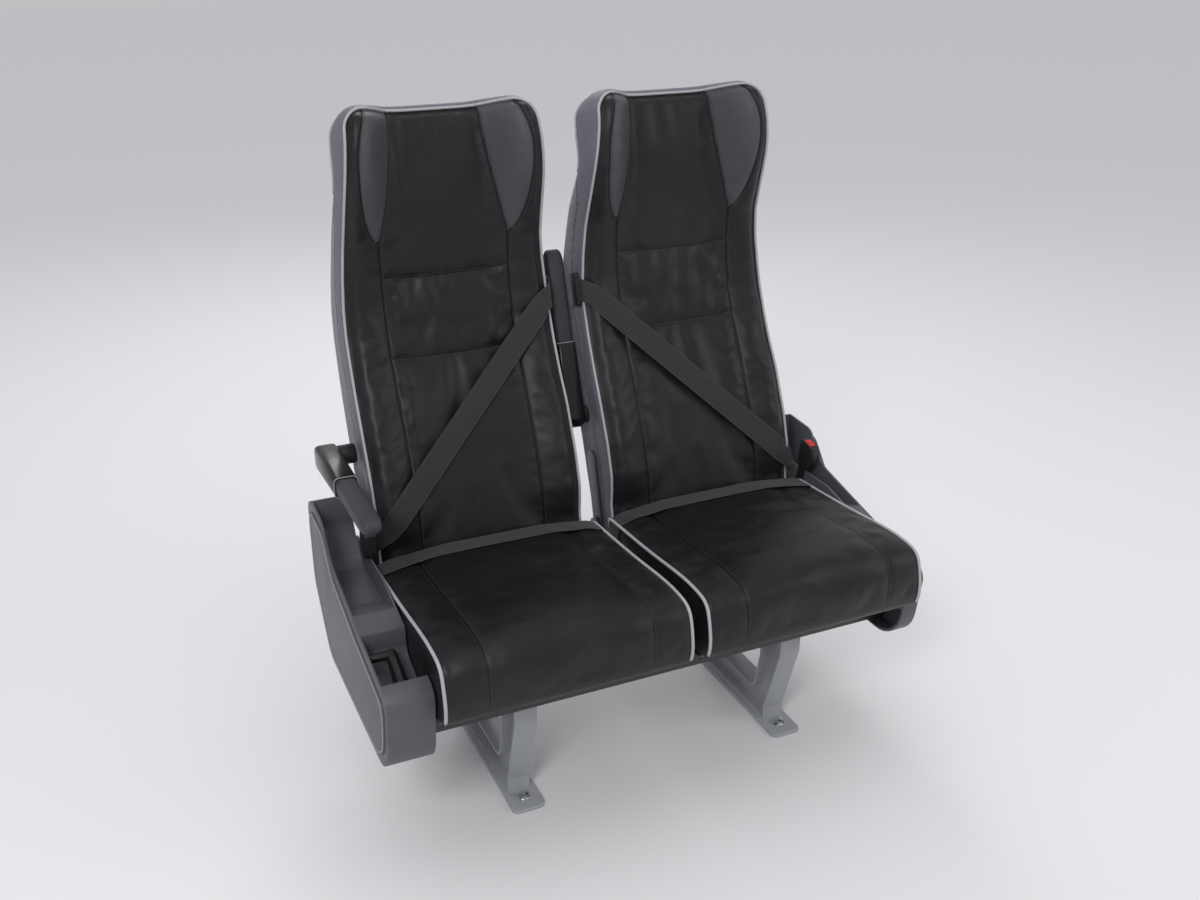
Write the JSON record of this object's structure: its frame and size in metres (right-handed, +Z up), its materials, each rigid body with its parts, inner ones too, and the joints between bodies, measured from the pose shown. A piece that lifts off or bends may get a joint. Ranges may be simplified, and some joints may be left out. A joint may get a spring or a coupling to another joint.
{
  "type": "coach double passenger seat",
  "caption": "High-back double passenger seat of a coach: reclining backs, folding armrests, lap and shoulder belts, and a bolt-down underframe.",
  "frame": {"origin": "on the floor, in the middle of the four floor bolts", "axes": "+Z up, -Y the way the seats face, +X towards the window seat"},
  "size_m": [1.068, 0.733, 1.2193],
  "materials": {
    "beams": "satin black powder coat",
    "legs": "satin grey powder coat",
    "pans": "black coated pressed sheet",
    "leather": "grained black leather with sewn seams",
    "covers": "fine grained dark grey moulding",
    "gloss": "glossy black moulding",
    "arm_skin": "soft matt dark skin",
    "buckles": "fine grained black moulding",
    "buttons": "red push button",
    "belts": "black woven webbing",
    "springs": "black painted tube",
    "rods": "polished rod",
    "moquette": "dark blue-grey speckled velour"
  },
  "bodies": {
    "root": {"front_beam": "beams", "rear_beam": "beams", "leg_aisle": "legs", "leg_window": "legs", "carrier_aisle": "beams", "carrier_middle": "beams", "carrier_window": "beams", "pan_aisle": "pans", "pan_window": "pans", "cushion_aisle": "leather", "cushion_window": "leather", "side_cover_aisle": "covers", "side_cover_window": "covers", "lever_aisle": "gloss", "lever_window": "gloss", "buckle_aisle": "buckles", "buckle_window": "buckles", "button_aisle": "buttons", "button_window": "buttons", "lap_strap_aisle": "belts", "lap_strap_window": "belts", "spring_cylinder_aisle": "springs", "spring_cylinder_window": "springs"},
    "spring_rod_aisle": {"spring_rod_aisle": "rods"},
    "spring_rod_window": {"spring_rod_window": "rods"},
    "back_aisle": {"back_frame_aisle": "beams", "back_pad_aisle": "leather", "pocket_aisle": "moquette", "shoulder_strap_aisle": "belts", "belt_guide_aisle": "buckles", "arm_boss_aisle": "buckles"},
    "back_window": {"back_frame_window": "beams", "back_pad_window": "leather", "pocket_window": "moquette", "shoulder_strap_window": "belts", "belt_guide_window": "buckles", "arm_boss_middle": "buckles"},
    "armrest_aisle": {"arm_hub_aisle": "gloss", "arm_pad_aisle": "arm_skin"},
    "armrest_middle": {"arm_hub_middle": "gloss", "arm_pad_middle": "arm_skin"}
  },
  "joints": [
    {"name": "recline_aisle", "type": "hinge", "parent": "root", "child": "back_aisle", "pos_m": [-0.2425, 0.17, 0.35], "axis": [-1, 0, 0], "range_deg": [0, 25]},
    {"name": "spring_rod_slide_aisle", "type": "slide", "parent": "root", "child": "spring_rod_aisle", "axis": [0, -1, 0], "range_m": [0, 0.02834]},
    {"name": "recline_window", "type": "hinge", "parent": "root", "child": "back_window", "pos_m": [0.2425, 0.17, 0.35], "axis": [-1, 0, 0], "range_deg": [0, 25]},
    {"name": "spring_rod_slide_window", "type": "slide", "parent": "root", "child": "spring_rod_window", "axis": [0, -1, 0], "range_m": [0, 0.02834]},
    {"name": "armrest_aisle_fold", "type": "hinge", "parent": "back_aisle", "child": "armrest_aisle", "pos_m": [-0.52, 0.24259, 0.585], "axis": [-1, 0, 0], "range_deg": [0, 106]},
    {"name": "armrest_middle_fold", "type": "hinge", "parent": "back_window", "child": "armrest_middle", "pos_m": [0, 0.24259, 0.585], "axis": [1, 0, 0], "range_deg": [0, 106]}
  ],
  "couplings": [
    {"joint": "spring_rod_slide_aisle", "follows": "recline_aisle", "m_per_rad": 0.064486},
    {"joint": "spring_rod_slide_window", "follows": "recline_window", "m_per_rad": 0.064486}
  ]
}
